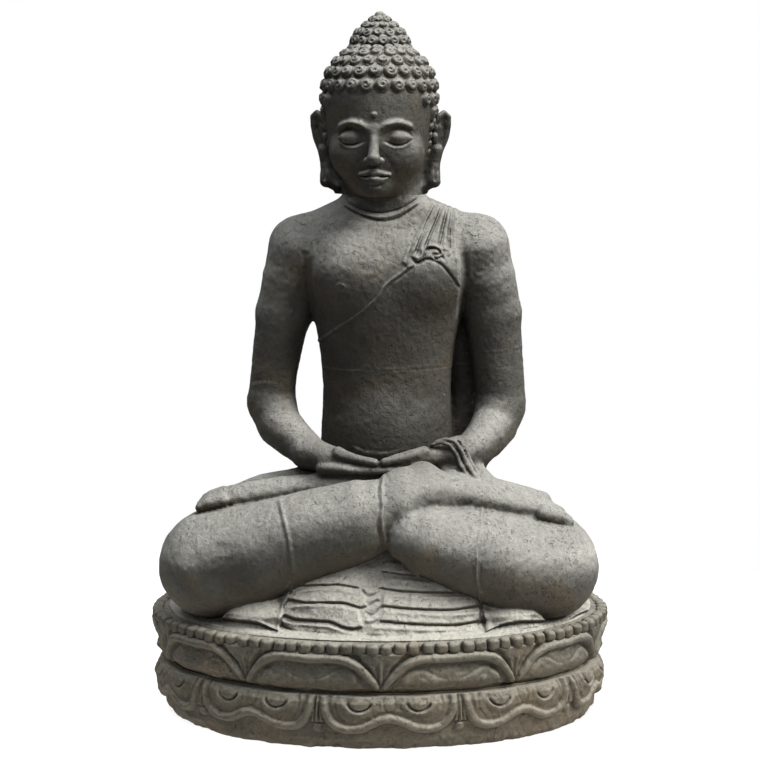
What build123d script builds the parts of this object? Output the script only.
from build123d import *
import os

# A seated meditating figure in dark volcanic stone on a double lotus pedestal, worked in bedded blocks.
# Millimetres, +Z up, facing -Y, origin at the centre of the pedestal's underside.
# Blocks from the ground up: lower lotus course, upper lotus course, lap block, chest block, head block.
# The two courses are bedded and pinned together; the figure's three blocks are bonded and doweled together;
# the figure stands dry on two locating pins, so it lifts straight off the pedestal.

os.makedirs("parts", exist_ok=True)

# ---------------------------------------------------------------- driving dimensions
COURSE_JOINT_Z = 76.0      # top of the lower lotus course
BED = 3.0                  # mortar bed between the courses, and resin bed at the waist
PEDESTAL_TOP_Z = 149.0     # seat of the figure
SLAB_T = 8.0               # thin seat slab carved in one with the lap block
SLAB_A, SLAB_B = 303.0, 221.0
WAIST_Z = 497.0            # top of the lap block
CHEST_Z = WAIST_Z + BED    # underside of the chest block
NECK_Z = 741.0             # top of the chest block
NECK_BED = 2.0
HEAD_Z = NECK_Z + NECK_BED
TOP_Z = 1000.0

COURSE_DOWEL_R, COURSE_DOWEL_L = 8.0, 70.0
COURSE_DOWEL_X, COURSE_DOWEL_Y = 190.0, 110.0
PIN_R, PIN_L, PIN_PROUD = 12.5, 90.0, 45.0
PIN_X, PIN_Y = 105.0, 30.0
SLEEVE_R, SLEEVE_BORE = 16.0, 13.0
SLEEVE_L = 50.0
WAIST_DOWEL_R, WAIST_DOWEL_L = 8.0, 120.0
WAIST_DOWEL_X, WAIST_DOWEL_Y = 45.0, 4.0
ARM_DOWEL_R, ARM_DOWEL_L = 5.0, 60.0
NECK_DOWEL_R, NECK_DOWEL_L = 10.0, 110.0
GROUT = 0.5                # resin round every bonded dowel

# axes of the two upper arms where the waist bed cuts them
RIGHT_ARM_AT_BED = (-144.0, 8.4)
LEFT_ARM_AT_BED = (162.0, 8.3)
ROBE_AT_BED = (118.5, 31.0)  # robe hanging between the left arm and the trunk
TORSO_X = 9.5              # the trunk leans a little to the figure's left
NECK_XY = (3.0, -4.0)

# pedestal outline: (z, half width, half depth)
LOWER_COURSE = [(0, 306, 231), (15, 314, 237), (32, 322, 243), (49, 326, 246), (64, 323, 243), (COURSE_JOINT_Z, 315, 236)]
UPPER_COURSE = [(COURSE_JOINT_Z + BED, 315, 236), (91, 320, 241), (110, 324, 244), (123, 326, 246), (127, 331, 250), (140, 331, 250), (PEDESTAL_TOP_Z, 325, 244)]

# trunk: (z, centre x, centre y, half width, half depth), below and above the waist bed
BELLY = [
    (300, TORSO_X, 32, 108, 86),
    (341, TORSO_X, 22, 100, 78),
    (381, TORSO_X, 14, 94, 72),
    (442, TORSO_X, 8, 93, 69),
    (WAIST_Z, TORSO_X, 6, 94, 69),
]
CHEST = [
    (CHEST_Z, TORSO_X, 6, 94, 69),
    (532, TORSO_X, 5, 97, 70),
    (571, TORSO_X + 1, 4, 107, 73),
    (630, TORSO_X + 2, 3, 123, 77),
    (670, TORSO_X + 2, 3, 136, 73),
    (699, TORSO_X + 1, 2, 122, 64),
    (718, 8, 0, 91, 56),
    (732, 6, -3, 69, 52),
    (NECK_Z, 3, -5, 58, 50),
]

# head: (z, centre y, half width, half depth)
HEAD = [
    (HEAD_Z, -6, 55, 51),
    (759, -14, 57, 62),
    (786, -20, 64.5, 81),
    (815, -21, 71.5, 89),
    (845, -20, 77.5, 92),
    (876, -18, 82, 93),
    (903, -15, 80.5, 89),
    (925, -10, 71.5, 78),
    (941, -4, 57, 61.5),
    (951, 2, 47, 49),
    (964, 4, 39, 40),
    (979, 5, 27, 27),
    (991, 5, 16, 16),
    (TOP_Z, 5, 6, 6),
]

# outline of an ear: (depth from the ear's middle, z)
EAR = [(-12, 753), (-17, 795), (-14, 848), (2, 868), (16, 853), (13, 805), (9, 757)]

# limbs as tapered rounded rods: (start, start radius, end, end radius)
RIGHT_UPPER_ARM = ((-118, 4, 653), 45, (-153.5, 10, 441), 34)
LEFT_UPPER_ARM = ((141, 4, 653), 45, (170.5, 10, 437), 34.5)
RIGHT_FOREARM = ((-153.5, 9, 440), 34, (-79, -90, 375), 23)
LEFT_FOREARM = ((170.5, 9, 436), 34, (108, -90, 378), 25)
RIGHT_HAND = ((-75, -92, 371), 22.5, (-3, -118, 359), 19)
LEFT_HAND = ((104, -92, 371), 23.5, (20, -116, 361), 19)
RIGHT_THIGH = ((-77, 76, 241.5), 85, (-230, -80, 231), 74)
LEFT_THIGH = ((92, 76, 241.5), 85, (230, -82, 228), 73)
RIGHT_SHIN = ((-234, -98, 230), 74, (10, -158, 314), 46)
LEFT_SHIN = ((233, -100, 227), 73, (52, -184, 277), 39)
RIGHT_FOOT = ((48, -132, 346), 30, (236, -95, 305), 20)
LEFT_FOOT = ((-51, -104, 345), 30, (-226, -76, 312), 21)
HIPS = ((-39, 70, 260), 88, (58, 70, 260), 88)
APRON = ((-59, -140, 217), 62, (78, -140, 217), 62)
# robe hanging between the left arm and the trunk, down on to the thigh
ROBE_HIGH = ((119, 30, 632), 16, (118, 31, 452), 18)
ROBE_LOW = ((117, 33, 448), 19.5, (113, 14, 347), 23)

UPPER_ARMS = [RIGHT_UPPER_ARM, LEFT_UPPER_ARM, ROBE_HIGH]
LAP_LIMBS = [RIGHT_FOREARM, LEFT_FOREARM, RIGHT_HAND, LEFT_HAND, RIGHT_THIGH, LEFT_THIGH, HIPS,
             RIGHT_SHIN, LEFT_SHIN, RIGHT_FOOT, LEFT_FOOT, APRON, ROBE_LOW]


def axis_plane(start, end):
    """Plane whose local X runs from start towards end, so that a profile drawn on it can turn about that line."""
    a, b = Vector(*start), Vector(*end)
    run = (b - a).normalized()
    side = Vector(0, 0, 1).cross(run)
    if side.length < 1e-3:
        side = Vector(0, 1, 0)
    return Plane(origin=a, x_dir=run, z_dir=side.normalized()), (b - a).length


def rod_profile(length, r1, r2):
    """Corners of a tapered rod with round ends: tangent points of the two end arcs and of the straight flank."""
    s = (r1 - r2) / length
    c = (1 - s * s) ** 0.5
    return (-r1, 0), (r1 * s, r1 * c), (length + r2 * s, r2 * c), (length + r2, 0), s, c


# ---------------------------------------------------------------- lower lotus course
with BuildPart() as lower_lotus_course:
    for z, a, b in LOWER_COURSE:
        with BuildSketch(Plane.XY.offset(z)):
            Ellipse(a, b)
    loft()
    with Locations(Plane.XY.offset(COURSE_JOINT_Z)):
        with GridLocations(2 * COURSE_DOWEL_X, 2 * COURSE_DOWEL_Y, 2, 2):
            Hole(COURSE_DOWEL_R + GROUT, depth=COURSE_DOWEL_L / 2 - BED / 2)

# ---------------------------------------------------------------- mortar bed between the courses
with BuildPart() as course_mortar_bed:
    with BuildSketch(Plane.XY.offset(COURSE_JOINT_Z)):
        Ellipse(308, 229)
        with GridLocations(2 * COURSE_DOWEL_X, 2 * COURSE_DOWEL_Y, 2, 2):
            Circle(COURSE_DOWEL_R + GROUT, mode=Mode.SUBTRACT)
    extrude(amount=BED)

# ---------------------------------------------------------------- course dowels, four alike
with BuildPart() as course_dowels:
    with BuildSketch(Plane.XY.offset(COURSE_JOINT_Z - COURSE_DOWEL_L / 2 + BED / 2)):
        with GridLocations(2 * COURSE_DOWEL_X, 2 * COURSE_DOWEL_Y, 2, 2):
            Circle(COURSE_DOWEL_R)
    extrude(amount=COURSE_DOWEL_L)
    chamfer(course_dowels.edges().filter_by(GeomType.CIRCLE).group_by(Axis.Z)[-1], 1.0)

# ---------------------------------------------------------------- upper lotus course with its bead ring
with BuildPart() as upper_lotus_course:
    for z, a, b in UPPER_COURSE:
        with BuildSketch(Plane.XY.offset(z)):
            Ellipse(a, b)
    loft(ruled=True)
    with Locations(Plane((0, 0, COURSE_JOINT_Z + BED), z_dir=(0, 0, -1))):
        with GridLocations(2 * COURSE_DOWEL_X, 2 * COURSE_DOWEL_Y, 2, 2):
            Hole(COURSE_DOWEL_R + GROUT, depth=COURSE_DOWEL_L / 2 - BED / 2)
    with Locations(Plane.XY.offset(PEDESTAL_TOP_Z)):
        with Locations((-PIN_X, PIN_Y), (PIN_X, PIN_Y)):
            Hole(PIN_R + GROUT, depth=PIN_L - PIN_PROUD)

# ---------------------------------------------------------------- locating pins, two alike, set in the upper course
with BuildPart() as locating_pins:
    with BuildSketch(Plane.XY.offset(PEDESTAL_TOP_Z - (PIN_L - PIN_PROUD))):
        with Locations((-PIN_X, PIN_Y), (PIN_X, PIN_Y)):
            Circle(PIN_R)
    extrude(amount=PIN_L)
    chamfer(locating_pins.edges().filter_by(GeomType.CIRCLE).group_by(Axis.Z)[-1], 4.0)

# ---------------------------------------------------------------- sleeves in the lap block that drop over the pins
with BuildPart() as pin_sleeves:
    with BuildSketch(Plane.XY.offset(PEDESTAL_TOP_Z)):
        with Locations((-PIN_X, PIN_Y), (PIN_X, PIN_Y)):
            Circle(SLEEVE_R)
            Circle(SLEEVE_BORE, mode=Mode.SUBTRACT)
    extrude(amount=SLEEVE_L)
    with BuildSketch(Plane.XY.offset(PEDESTAL_TOP_Z + SLEEVE_L)):
        with Locations((-PIN_X, PIN_Y), (PIN_X, PIN_Y)):
            Circle(SLEEVE_R)
    extrude(amount=3.0)

# ---------------------------------------------------------------- lap block: seat slab, crossed legs, hands and belly
with BuildPart() as lap_block:
    for start, r1, end, r2 in UPPER_ARMS:
        plane, length = axis_plane(start, end)
        p0, p1, p2, p3, s, c = rod_profile(length, r1, r2)
        with BuildSketch(plane):
            with BuildLine():
                ThreePointArc(p0, (-r1 * 2 ** -0.5, r1 * 2 ** -0.5), p1)
                Line(p1, p2)
                ThreePointArc(p2, (length + r2 * (0.5 + s / 2) / ((0.5 + s / 2) ** 2 + (c / 2) ** 2) ** 0.5,
                                   r2 * (c / 2) / ((0.5 + s / 2) ** 2 + (c / 2) ** 2) ** 0.5), p3)
                Line(p3, p0)
            make_face()
        revolve(axis=Axis(plane.origin, plane.x_dir))
    with Locations((0, 0, WAIST_Z)):
        Box(900, 700, 600, align=(Align.CENTER, Align.CENTER, Align.MIN), mode=Mode.SUBTRACT)
    for z, cx, cy, a, b in BELLY:
        with BuildSketch(Plane.XY.offset(z)):
            with Locations((cx, cy)):
                Ellipse(a, b)
    loft()
    for start, r1, end, r2 in LAP_LIMBS:
        plane, length = axis_plane(start, end)
        p0, p1, p2, p3, s, c = rod_profile(length, r1, r2)
        with BuildSketch(plane):
            with BuildLine():
                ThreePointArc(p0, (-r1 * 2 ** -0.5, r1 * 2 ** -0.5), p1)
                Line(p1, p2)
                ThreePointArc(p2, (length + r2 * (0.5 + s / 2) / ((0.5 + s / 2) ** 2 + (c / 2) ** 2) ** 0.5,
                                   r2 * (c / 2) / ((0.5 + s / 2) ** 2 + (c / 2) ** 2) ** 0.5), p3)
                Line(p3, p0)
            make_face()
        revolve(axis=Axis(plane.origin, plane.x_dir))
    with Locations((0, 0, PEDESTAL_TOP_Z + SLAB_T)):
        Box(900, 700, 300, align=(Align.CENTER, Align.CENTER, Align.MAX), mode=Mode.SUBTRACT)
    with BuildSketch(Plane.XY.offset(PEDESTAL_TOP_Z)):
        Ellipse(SLAB_A, SLAB_B)
    extrude(amount=SLAB_T)
    with BuildSketch(Plane.XY.offset(PEDESTAL_TOP_Z)):
        with Locations((-PIN_X, PIN_Y), (PIN_X, PIN_Y)):
            Circle(SLEEVE_R)
    extrude(amount=SLEEVE_L + 3.0, mode=Mode.SUBTRACT)
    with Locations(Plane.XY.offset(WAIST_Z)):
        with Locations((TORSO_X - WAIST_DOWEL_X, WAIST_DOWEL_Y), (TORSO_X + WAIST_DOWEL_X, WAIST_DOWEL_Y)):
            Hole(WAIST_DOWEL_R + GROUT, depth=WAIST_DOWEL_L / 2 - BED / 2)
        with Locations(RIGHT_ARM_AT_BED, LEFT_ARM_AT_BED):
            Hole(ARM_DOWEL_R + GROUT, depth=ARM_DOWEL_L / 2 - BED / 2)

# ---------------------------------------------------------------- chest block: chest, shoulders, upper arms, neck stump
with BuildPart() as chest_block:
    for start, r1, end, r2 in UPPER_ARMS:
        plane, length = axis_plane(start, end)
        p0, p1, p2, p3, s, c = rod_profile(length, r1, r2)
        with BuildSketch(plane):
            with BuildLine():
                ThreePointArc(p0, (-r1 * 2 ** -0.5, r1 * 2 ** -0.5), p1)
                Line(p1, p2)
                ThreePointArc(p2, (length + r2 * (0.5 + s / 2) / ((0.5 + s / 2) ** 2 + (c / 2) ** 2) ** 0.5,
                                   r2 * (c / 2) / ((0.5 + s / 2) ** 2 + (c / 2) ** 2) ** 0.5), p3)
                Line(p3, p0)
            make_face()
        revolve(axis=Axis(plane.origin, plane.x_dir))
    with Locations((0, 0, CHEST_Z)):
        Box(900, 700, 400, align=(Align.CENTER, Align.CENTER, Align.MAX), mode=Mode.SUBTRACT)
    for z, cx, cy, a, b in CHEST:
        with BuildSketch(Plane.XY.offset(z)):
            with Locations((cx, cy)):
                Ellipse(a, b)
    loft()
    with Locations(Plane((0, 0, CHEST_Z), x_dir=(1, 0, 0), z_dir=(0, 0, -1))):
        with Locations((TORSO_X - WAIST_DOWEL_X, -WAIST_DOWEL_Y), (TORSO_X + WAIST_DOWEL_X, -WAIST_DOWEL_Y)):
            Hole(WAIST_DOWEL_R + GROUT, depth=WAIST_DOWEL_L / 2 - BED / 2)
        with Locations((RIGHT_ARM_AT_BED[0], -RIGHT_ARM_AT_BED[1]), (LEFT_ARM_AT_BED[0], -LEFT_ARM_AT_BED[1])):
            Hole(ARM_DOWEL_R + GROUT, depth=ARM_DOWEL_L / 2 - BED / 2)
    with Locations(Plane.XY.offset(NECK_Z)):
        with Locations(NECK_XY):
            Hole(NECK_DOWEL_R + GROUT, depth=NECK_DOWEL_L / 2 - NECK_BED / 2)

# ---------------------------------------------------------------- resin bed at the waist: one pad under the trunk, one in each arm
with BuildPart() as waist_resin_bed:
    with BuildSketch(Plane.XY.offset(WAIST_Z)):
        with Locations((TORSO_X, 6)):
            Ellipse(90, 64)
        with Locations(RIGHT_ARM_AT_BED, LEFT_ARM_AT_BED):
            Circle(33)
        with Locations(ROBE_AT_BED):
            Circle(11)
        with Locations((TORSO_X - WAIST_DOWEL_X, WAIST_DOWEL_Y), (TORSO_X + WAIST_DOWEL_X, WAIST_DOWEL_Y)):
            Circle(WAIST_DOWEL_R + GROUT, mode=Mode.SUBTRACT)
        with Locations(RIGHT_ARM_AT_BED, LEFT_ARM_AT_BED):
            Circle(ARM_DOWEL_R + GROUT, mode=Mode.SUBTRACT)
    extrude(amount=BED)

# ---------------------------------------------------------------- trunk dowels, two alike
with BuildPart() as trunk_dowels:
    with BuildSketch(Plane.XY.offset(WAIST_Z + BED / 2 - WAIST_DOWEL_L / 2)):
        with Locations((TORSO_X - WAIST_DOWEL_X, WAIST_DOWEL_Y), (TORSO_X + WAIST_DOWEL_X, WAIST_DOWEL_Y)):
            Circle(WAIST_DOWEL_R)
    extrude(amount=WAIST_DOWEL_L)

# ---------------------------------------------------------------- arm dowels, two alike
with BuildPart() as arm_dowels:
    with BuildSketch(Plane.XY.offset(WAIST_Z + BED / 2 - ARM_DOWEL_L / 2)):
        with Locations(RIGHT_ARM_AT_BED, LEFT_ARM_AT_BED):
            Circle(ARM_DOWEL_R)
    extrude(amount=ARM_DOWEL_L)

# ---------------------------------------------------------------- resin bed at the neck
with BuildPart() as neck_resin_bed:
    with BuildSketch(Plane.XY.offset(NECK_Z)):
        with Locations(NECK_XY):
            Ellipse(50, 44)
            Circle(NECK_DOWEL_R + GROUT, mode=Mode.SUBTRACT)
    extrude(amount=NECK_BED)

# ---------------------------------------------------------------- neck dowel
with BuildPart() as neck_dowel:
    with BuildSketch(Plane.XY.offset(NECK_Z + NECK_BED / 2 - NECK_DOWEL_L / 2)):
        with Locations(NECK_XY):
            Circle(NECK_DOWEL_R)
    extrude(amount=NECK_DOWEL_L)

# ---------------------------------------------------------------- head block: neck, head, long-lobed ears, raised crown of hair
with BuildPart() as head_block:
    for z, cy, a, b in HEAD:
        with BuildSketch(Plane.XY.offset(z)):
            with Locations((0 if z > 760 else 3 * (760 - z) / 30, cy)):
                Ellipse(a, b)
    loft()
    # nose: a small wedge on the face
    with BuildSketch(Plane((0, -106, 832), x_dir=(1, 0, 0), z_dir=(0, -1, 0))):
        with BuildLine():
            Polyline((-6, 28), (-12, -12), (12, -12), (6, 28), close=True)
        make_face()
    extrude(amount=12, taper=20)
    # ears: a flat upper shell running down into a long lobe
    for side in (-1, 1):
        with BuildSketch(Plane((side * 62, 8, 0), x_dir=(0, side, 0), z_dir=(side, 0, 0))):
            with BuildLine():
                Spline(*[(side * y, z) for y, z in EAR])
                Line((side * EAR[-1][0], EAR[-1][1]), (side * EAR[0][0], EAR[0][1]))
            make_face()
        extrude(amount=30)
    with Locations(Plane((0, 0, HEAD_Z), x_dir=(1, 0, 0), z_dir=(0, 0, -1))):
        with Locations((NECK_XY[0], -NECK_XY[1])):
            Hole(NECK_DOWEL_R + GROUT, depth=NECK_DOWEL_L / 2 - NECK_BED / 2)

PIECES = {
    "lower_lotus_course": lower_lotus_course,
    "course_mortar_bed": course_mortar_bed,
    "course_dowels": course_dowels,
    "upper_lotus_course": upper_lotus_course,
    "locating_pins": locating_pins,
    "pin_sleeves": pin_sleeves,
    "lap_block": lap_block,
    "waist_resin_bed": waist_resin_bed,
    "trunk_dowels": trunk_dowels,
    "arm_dowels": arm_dowels,
    "chest_block": chest_block,
    "neck_resin_bed": neck_resin_bed,
    "neck_dowel": neck_dowel,
    "head_block": head_block,
}
for name, piece in PIECES.items():
    piece.part.label = name
    export_step(piece.part, f"parts/{name}.step")
    print(name, len(piece.part.solids()), round(piece.part.volume / 1000), "cm3")
